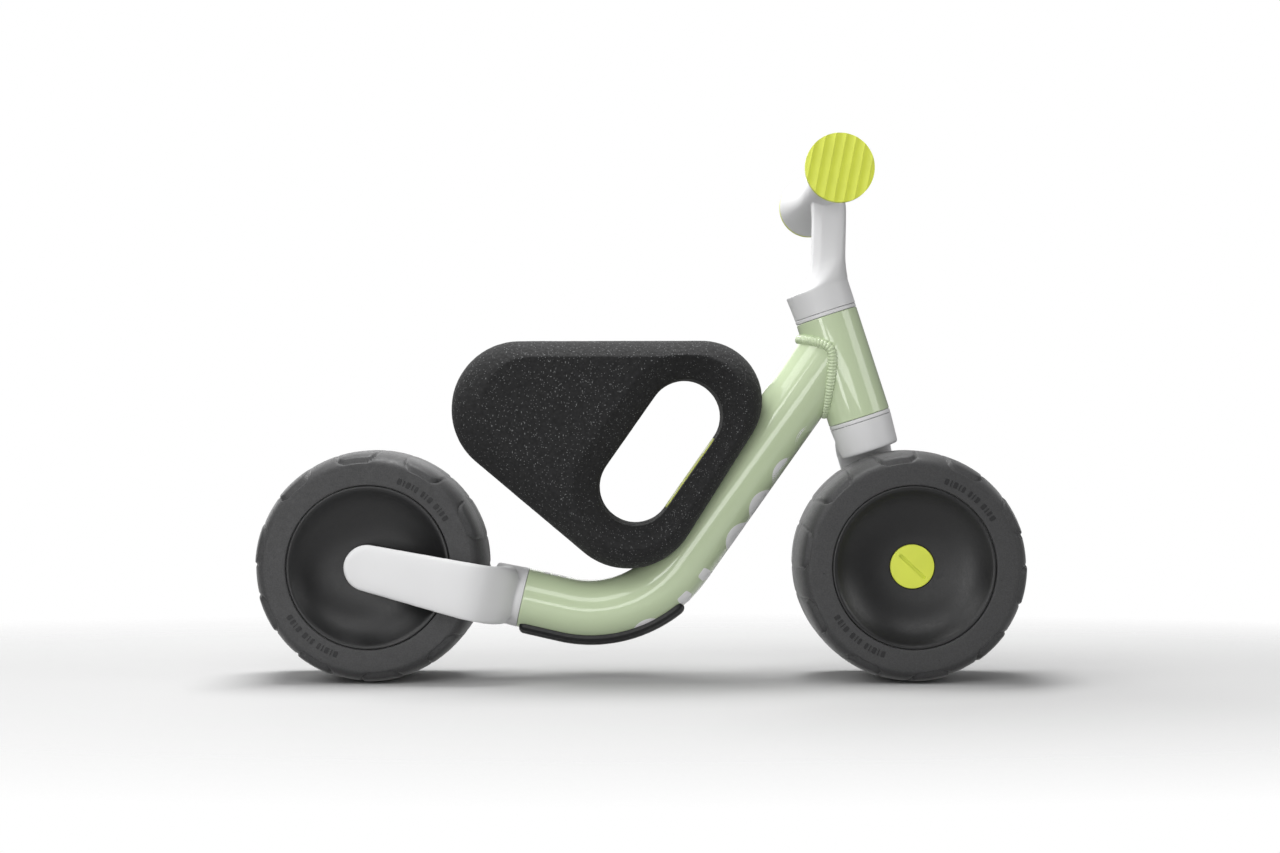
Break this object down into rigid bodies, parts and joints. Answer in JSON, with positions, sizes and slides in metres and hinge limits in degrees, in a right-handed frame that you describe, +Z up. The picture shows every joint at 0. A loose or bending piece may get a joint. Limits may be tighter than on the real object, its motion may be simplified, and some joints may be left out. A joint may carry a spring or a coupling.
{
  "type": "toddler balance bike",
  "caption": "Small balance bike: bent green tube, foam block seat with a hand slot, wide dished wheels on single-sided legs, flared white handlebar.",
  "frame": {"origin": "on the ground under the bike, halfway between the two axles and in the frame's middle plane", "axes": "+X the way the bike rides, +Y the rider's left, +Z up"},
  "size_m": [0.5946, 0.3, 0.4075],
  "materials": {
    "sage_paint": "gloss sage-green paint over aluminium",
    "white_satin": "satin white moulded plastic with a fine grain",
    "speckled_foam": "dark expanded-bead foam with light specks",
    "lime_plastic": "matt lime moulded plastic",
    "tyre_foam": "matt grey-black foam tyre",
    "wheel_core": "satin black moulded plastic",
    "guard_rubber": "matt black rubber strip",
    "steel": "plain steel"
  },
  "bodies": {
    "frame": {"main_tube": "sage_paint", "head_tube": "sage_paint", "weld_bead": "sage_paint", "rear_arm": "white_satin", "arm_screw_front": "steel", "arm_screw_rear": "steel", "underside_guard": "guard_rubber", "seat": "speckled_foam", "seat_clamp_plate": "lime_plastic", "seat_bolt_lower": "steel", "seat_bolt_upper": "steel", "seat_nut_lower": "steel", "seat_nut_upper": "steel", "lower_headset_bearing": "steel", "upper_headset_bearing": "steel", "steering_stop_ring": "steel", "rear_axle": "steel", "rear_axle_spacer": "steel", "rear_axle_cap": "lime_plastic"},
    "steering": {"fork": "white_satin", "steerer_tube": "steel", "steering_bolt": "steel", "lower_headset_cover": "white_satin", "upper_headset_cover": "white_satin", "steering_stop_pin": "steel", "handlebar": "white_satin", "grip_cap_left": "lime_plastic", "grip_cap_right": "lime_plastic", "front_axle": "steel", "front_axle_spacer": "steel", "front_axle_cap": "lime_plastic"},
    "front_wheel": {"front_tyre": "tyre_foam", "front_hub_left": "wheel_core", "front_hub_right": "wheel_core", "front_bearing_left": "steel", "front_bearing_right": "steel"},
    "rear_wheel": {"rear_tyre": "tyre_foam", "rear_hub_left": "wheel_core", "rear_hub_right": "wheel_core", "rear_bearing_left": "steel", "rear_bearing_right": "steel"}
  },
  "joints": [
    {"name": "steering_turn", "type": "hinge", "parent": "frame", "child": "steering", "pos_m": [0.2083, 0, 0.089], "axis": [-0.309, 0, 0.9511], "range_deg": [-45, 45]},
    {"name": "front_wheel_spin", "type": "hinge", "parent": "steering", "child": "front_wheel", "pos_m": [0.2083, 0, 0.089], "axis": [0, 1, 0], "continuous": true},
    {"name": "rear_wheel_spin", "type": "hinge", "parent": "frame", "child": "rear_wheel", "pos_m": [-0.2083, 0, 0.089], "axis": [0, 1, 0], "continuous": true}
  ]
}
